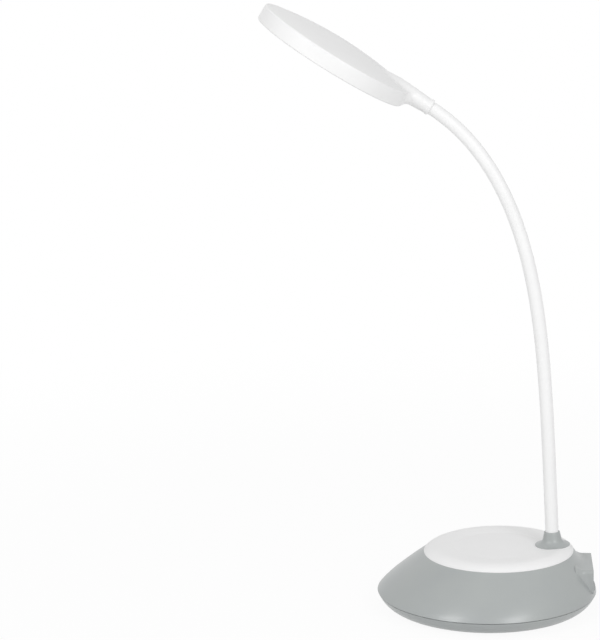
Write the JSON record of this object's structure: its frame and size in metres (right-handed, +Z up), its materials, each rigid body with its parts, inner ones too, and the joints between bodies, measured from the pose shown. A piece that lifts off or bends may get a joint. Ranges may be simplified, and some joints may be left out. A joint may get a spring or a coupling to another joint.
{
  "type": "table lamp",
  "caption": "Rechargeable LED table lamp: round disc head on a bendable gooseneck, low domed base with a shallow top tray, charging socket and slide switch at the back.",
  "frame": {"origin": "middle of the anti-slip pad's underside, the face that the lamp stands on", "axes": "+Z up, -Y towards the front, where the head reaches out, +Y towards the back with the neck's root and the sockets, +X to the right seen from the front"},
  "size_m": [0.15, 0.225, 0.4127],
  "materials": {
    "grey_shell": "satin moulded ABS",
    "white_plastic": "satin moulded ABS",
    "opal_diffuser": "frosted opal acrylic",
    "white_sleeve": "satin extruded silicone",
    "rubber_pad": "matt",
    "ballast_steel": "mill finish",
    "cell_wrap": "shrink wrap",
    "black_plastic": "moulded",
    "circuit_board": "solder mask",
    "led_board": "white solder mask",
    "led_chip": "phosphor",
    "plated_steel": "nickel plated",
    "indicator_lens": "smoked lens",
    "lead_jacket": "matt",
    "brass_fitting": "turned",
    "neck_core": "wound wire"
  },
  "bodies": {
    "base": {"base_upper_shell": "grey_shell", "base_bottom_cover": "grey_shell", "cover_screws": "plated_steel", "anti_slip_pad": "rubber_pad", "ballast_plate": "ballast_steel", "battery_cradle": "black_plastic", "battery_cell": "cell_wrap", "top_plate": "white_plastic", "plate_screws": "plated_steel", "neck_collar": "grey_shell", "neck_ferrule_lower": "brass_fitting", "neck_washer": "plated_steel", "neck_lock_nut": "plated_steel", "neck_sleeve": "white_sleeve", "led_lead": "lead_jacket", "port_panel": "grey_shell", "usb_socket": "plated_steel", "control_board": "circuit_board", "circuit_screws": "plated_steel", "indicator_led": "indicator_lens", "switch_housing": "black_plastic"},
    "switch": {"switch_slider": "black_plastic"},
    "neck_01": {"neck_link_01": "neck_core"},
    "neck_02": {"neck_link_02": "neck_core"},
    "neck_03": {"neck_link_03": "neck_core"},
    "neck_04": {"neck_link_04": "neck_core"},
    "neck_05": {"neck_link_05": "neck_core"},
    "neck_06": {"neck_link_06": "neck_core"},
    "neck_07": {"neck_link_07": "neck_core"},
    "neck_08": {"neck_link_08": "neck_core"},
    "neck_09": {"neck_link_09": "neck_core"},
    "neck_10": {"neck_link_10": "neck_core"},
    "neck_11": {"neck_link_11": "neck_core"},
    "neck_12": {"neck_link_12": "neck_core"},
    "neck_13": {"neck_link_13": "neck_core"},
    "neck_14": {"neck_link_14": "neck_core"},
    "neck_15": {"neck_link_15": "neck_core"},
    "neck_16": {"neck_link_16": "neck_core"},
    "neck_17": {"neck_link_17": "neck_core"},
    "head": {"head_shell": "white_plastic", "diffuser": "opal_diffuser", "led_board": "led_board", "led_chips": "led_chip", "led_board_screws": "plated_steel", "neck_ferrule_upper": "brass_fitting", "head_lock_nut": "plated_steel"}
  },
  "joints": [
    {"name": "neck_lower_bend", "type": "hinge", "parent": "base", "child": "neck_01", "pos_m": [0, 0.04443, 0.0572], "axis": [1, 0, 0], "range_deg": [-5, 6], "deforming": ["neck_sleeve", "led_lead"]},
    {"name": "neck_side_bend", "type": "hinge", "parent": "neck_01", "child": "neck_02", "pos_m": [0, 0.04365, 0.07506], "axis": [0, 0.999, 0.0439], "range_deg": [-6, 6]},
    {"name": "neck_lower_bend_02", "type": "hinge", "parent": "neck_02", "child": "neck_03", "pos_m": [0, 0.04285, 0.09292], "axis": [1, 0, 0], "range_deg": [-5, 6]},
    {"name": "neck_lower_bend_03", "type": "hinge", "parent": "neck_03", "child": "neck_04", "pos_m": [0, 0.04202, 0.11078], "axis": [1, 0, 0], "range_deg": [-5, 6]},
    {"name": "neck_side_bend_04", "type": "hinge", "parent": "neck_04", "child": "neck_05", "pos_m": [0, 0.04109, 0.12863], "axis": [0, 0.9985, 0.0549], "range_deg": [-6, 6]},
    {"name": "neck_lower_bend_05", "type": "hinge", "parent": "neck_05", "child": "neck_06", "pos_m": [0, 0.04002, 0.14647], "axis": [1, 0, 0], "range_deg": [-5, 6]},
    {"name": "neck_lower_bend_06", "type": "hinge", "parent": "neck_06", "child": "neck_07", "pos_m": [0, 0.0387, 0.1643], "axis": [1, 0, 0], "range_deg": [-5, 6]},
    {"name": "neck_side_bend_07", "type": "hinge", "parent": "neck_07", "child": "neck_08", "pos_m": [0, 0.03704, 0.1821], "axis": [0, 0.9946, 0.1039], "range_deg": [-6, 6]},
    {"name": "neck_lower_bend_08", "type": "hinge", "parent": "neck_08", "child": "neck_09", "pos_m": [0, 0.03492, 0.19985], "axis": [1, 0, 0], "range_deg": [-5, 6]},
    {"name": "neck_upper_bend", "type": "hinge", "parent": "neck_09", "child": "neck_10", "pos_m": [0, 0.03218, 0.21751], "axis": [1, 0, 0], "range_deg": [-8, 6]},
    {"name": "neck_side_bend_10", "type": "hinge", "parent": "neck_10", "child": "neck_11", "pos_m": [0, 0.02866, 0.23504], "axis": [0, 0.9753, 0.2211], "range_deg": [-6, 6]},
    {"name": "neck_upper_bend_11", "type": "hinge", "parent": "neck_11", "child": "neck_12", "pos_m": [0, 0.02418, 0.25234], "axis": [1, 0, 0], "range_deg": [-8, 6]},
    {"name": "neck_upper_bend_12", "type": "hinge", "parent": "neck_12", "child": "neck_13", "pos_m": [0, 0.01855, 0.2693], "axis": [1, 0, 0], "range_deg": [-8, 6]},
    {"name": "neck_side_bend_13", "type": "hinge", "parent": "neck_13", "child": "neck_14", "pos_m": [0, 0.01157, 0.28575], "axis": [0, 0.9026, 0.4305], "range_deg": [-6, 6]},
    {"name": "neck_upper_bend_14", "type": "hinge", "parent": "neck_14", "child": "neck_15", "pos_m": [0, 0.00306, 0.30147], "axis": [1, 0, 0], "range_deg": [-8, 6]},
    {"name": "neck_upper_bend_15", "type": "hinge", "parent": "neck_15", "child": "neck_16", "pos_m": [0, -0.00715, 0.31613], "axis": [1, 0, 0], "range_deg": [-8, 6]},
    {"name": "neck_side_bend_16", "type": "hinge", "parent": "neck_16", "child": "neck_17", "pos_m": [0, -0.01915, 0.32936], "axis": [0, 0.6928, 0.7211], "range_deg": [-6, 6]},
    {"name": "neck_upper_bend_17", "type": "hinge", "parent": "neck_17", "child": "head", "pos_m": [0, -0.03296, 0.34069], "axis": [1, 0, 0], "range_deg": [-8, 6]},
    {"name": "switch_slide", "type": "slide", "parent": "base", "child": "switch", "axis": [1, 0, 0], "range_m": [0, 0.0025]}
  ],
  "couplings": [
    {"joint": "neck_lower_bend_02", "follows": "neck_lower_bend", "ratio": 1},
    {"joint": "neck_lower_bend_03", "follows": "neck_lower_bend", "ratio": 1},
    {"joint": "neck_side_bend_04", "follows": "neck_side_bend", "ratio": 1},
    {"joint": "neck_lower_bend_05", "follows": "neck_lower_bend", "ratio": 1},
    {"joint": "neck_lower_bend_06", "follows": "neck_lower_bend", "ratio": 1},
    {"joint": "neck_side_bend_07", "follows": "neck_side_bend", "ratio": 1},
    {"joint": "neck_lower_bend_08", "follows": "neck_lower_bend", "ratio": 1},
    {"joint": "neck_side_bend_10", "follows": "neck_side_bend", "ratio": 1},
    {"joint": "neck_upper_bend_11", "follows": "neck_upper_bend", "ratio": 1},
    {"joint": "neck_upper_bend_12", "follows": "neck_upper_bend", "ratio": 1},
    {"joint": "neck_side_bend_13", "follows": "neck_side_bend", "ratio": 1},
    {"joint": "neck_upper_bend_14", "follows": "neck_upper_bend", "ratio": 1},
    {"joint": "neck_upper_bend_15", "follows": "neck_upper_bend", "ratio": 1},
    {"joint": "neck_side_bend_16", "follows": "neck_side_bend", "ratio": 1},
    {"joint": "neck_upper_bend_17", "follows": "neck_upper_bend", "ratio": 1}
  ]
}
